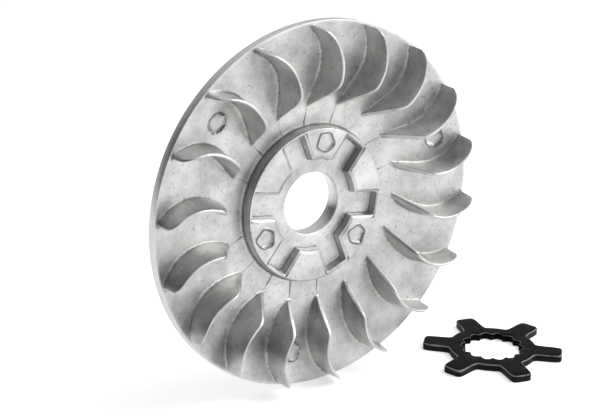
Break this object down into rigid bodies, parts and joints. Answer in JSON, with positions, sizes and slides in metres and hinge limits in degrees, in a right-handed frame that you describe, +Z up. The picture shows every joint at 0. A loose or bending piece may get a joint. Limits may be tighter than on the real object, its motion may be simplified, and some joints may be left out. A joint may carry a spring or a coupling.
{
  "type": "scooter fan pulley with star washer",
  "caption": "Cast half pulley of a small scooter's belt drive, with curved fan blades on its outer face, and the loose star-shaped lock washer that keys it to the crankshaft.",
  "frame": {"origin": "on the pulley's turning axis, in the plane of the rim's front edge", "axes": "-Y out of the fan side along the turning axis, +Z up, +X to the right as the fan side is looked at"},
  "size_m": [0.1298, 0.0468, 0.108],
  "materials": {
    "cast_aluminium": "as cast, with a turned rim edge and turned back faces",
    "black_steel": "stamped steel, black oxide"
  },
  "bodies": {
    "pulley": {"fan_pulley": "cast_aluminium"},
    "washer": {"star_washer": "black_steel"}
  },
  "joints": [
    {"name": "washer_lift", "type": "slide", "parent": "pulley", "child": "washer", "axis": [0, 0, 1], "range_m": [0, 0.012]}
  ]
}
